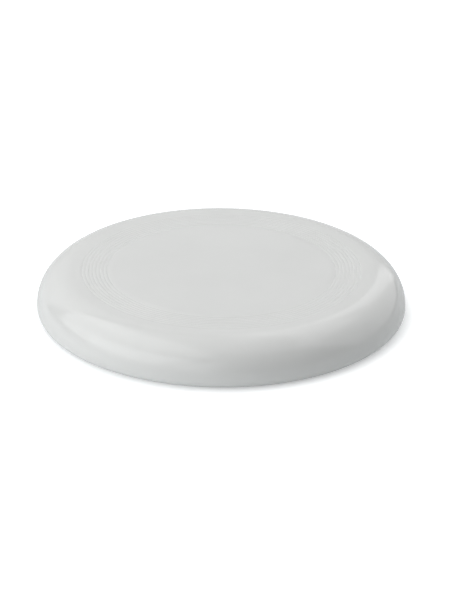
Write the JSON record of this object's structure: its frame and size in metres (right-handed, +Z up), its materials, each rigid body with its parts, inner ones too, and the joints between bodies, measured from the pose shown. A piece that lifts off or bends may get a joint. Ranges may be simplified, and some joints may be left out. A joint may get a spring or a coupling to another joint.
{
  "type": "flying disc",
  "caption": "Round white plastic flying disc: a thin flat plate with a band of fine rings, a rounded shoulder and a rolled-in lip round a hollow underside.",
  "frame": {"origin": "on the disc's axis, in the plane that the lip's lowest land rests on", "axes": "+Z up along the disc's axis, out of the plate's top; the disc is a body of revolution, so +X and +Y are free"},
  "size_m": [0.23, 0.23, 0.0276],
  "materials": {
    "white_plastic": "satin white polypropylene, as moulded"
  },
  "bodies": {
    "root": {"flight_plate": "white_plastic", "ring_band": "white_plastic", "shoulder": "white_plastic", "rim_wall": "white_plastic", "lip": "white_plastic"}
  },
  "joints": []
}
